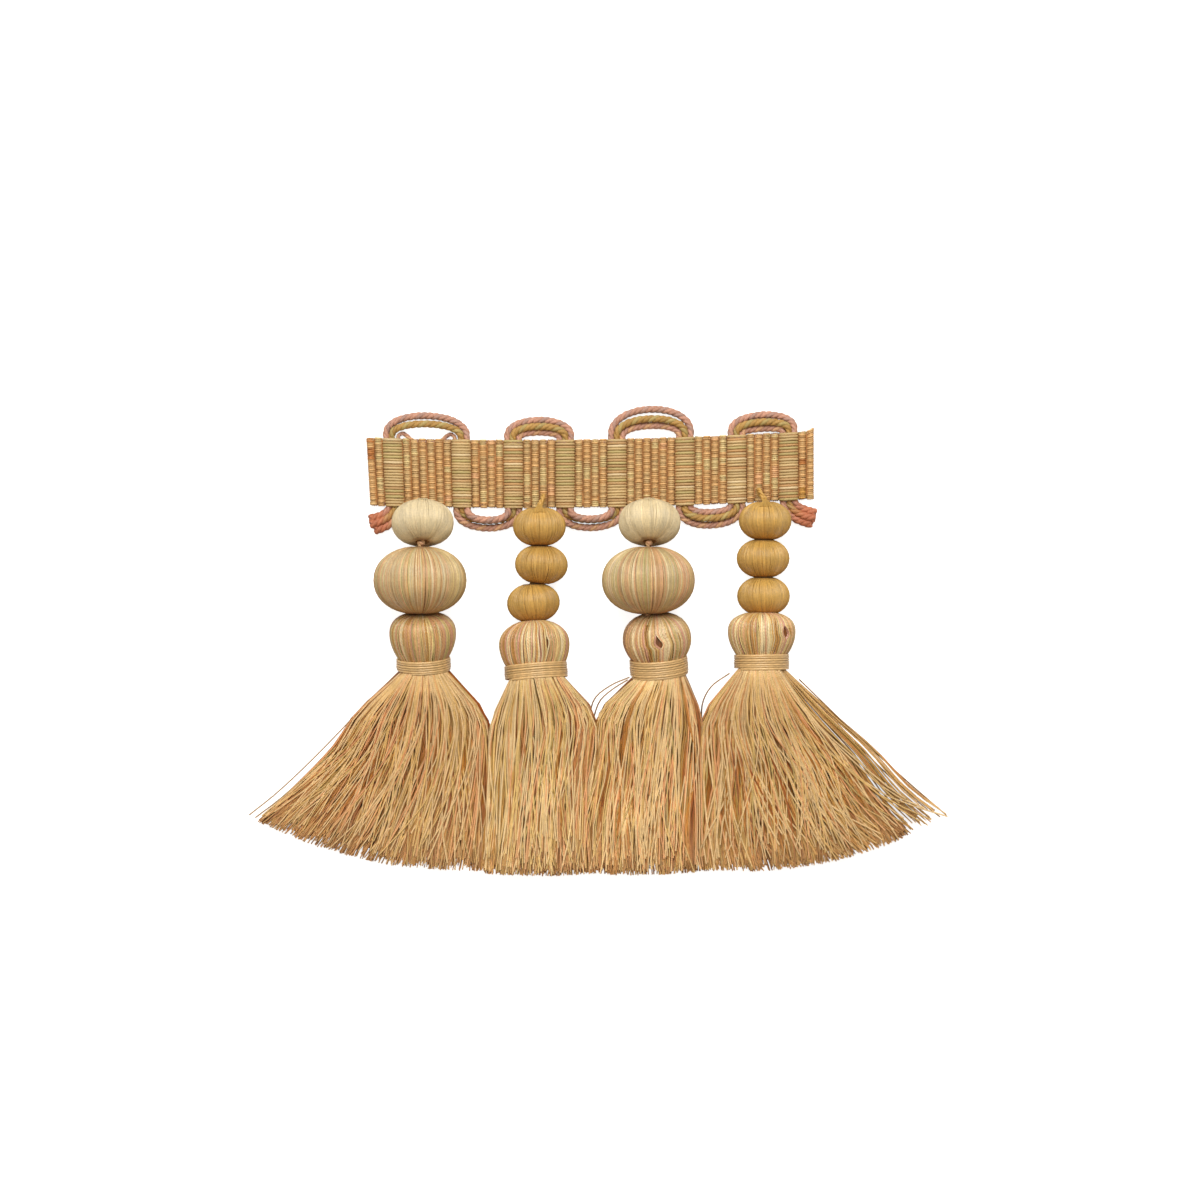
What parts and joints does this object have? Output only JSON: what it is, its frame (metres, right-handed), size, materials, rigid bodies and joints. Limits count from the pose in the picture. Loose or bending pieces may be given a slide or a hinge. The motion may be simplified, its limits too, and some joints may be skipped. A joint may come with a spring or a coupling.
{
  "type": "bead tassel fringe",
  "caption": "Short length of bead tassel fringe: a ribbed woven heading with scalloped gimp cords, and thread-covered beads and yarn tassels hanging from it.",
  "frame": {"origin": "middle of the flat back of the woven heading, on the surface that the fringe lies on", "axes": "+X along the heading, +Y towards the scallops above the heading, +Z out of the fringe's face"},
  "size_m": [0.1732, 0.1184, 0.023],
  "materials": {
    "heading": "ribbed weave of tan, cream and peach viscose yarn",
    "rose_gimp": "twisted rose gimp cord with a soft sheen",
    "gold_gimp": "twisted olive-gold gimp cord with a soft sheen",
    "string": "twisted hanging string",
    "cream_bead": "bead covered with cream satin thread",
    "striped_bead": "bead covered with thread in thin cream, gold, peach and pale green stripes",
    "gold_bead": "bead covered with gold satin thread",
    "tassel_yarn": "loose viscose yarn in gold, cream, peach and pale green",
    "binding": "yarn wound tightly round the neck"
  },
  "bodies": {
    "root": {"heading_tape": "heading", "gimp_rose_upper": "rose_gimp", "gimp_gold": "gold_gimp", "gimp_rose_lower": "rose_gimp", "tassel1_string": "string", "tassel1_cream_bead": "cream_bead", "tassel1_large_bead": "striped_bead", "tassel1_head_and_skirt": "tassel_yarn", "tassel1_binding": "binding", "tassel2_string": "string", "tassel2_gold_bead_1": "gold_bead", "tassel2_gold_bead_2": "gold_bead", "tassel2_gold_bead_3": "gold_bead", "tassel2_head_and_skirt": "tassel_yarn", "tassel2_binding": "binding", "tassel3_string": "string", "tassel3_cream_bead": "cream_bead", "tassel3_large_bead": "striped_bead", "tassel3_head_and_skirt": "tassel_yarn", "tassel3_binding": "binding", "tassel4_string": "string", "tassel4_gold_bead_1": "gold_bead", "tassel4_gold_bead_2": "gold_bead", "tassel4_gold_bead_3": "gold_bead", "tassel4_head_and_skirt": "tassel_yarn", "tassel4_binding": "binding"}
  },
  "joints": []
}
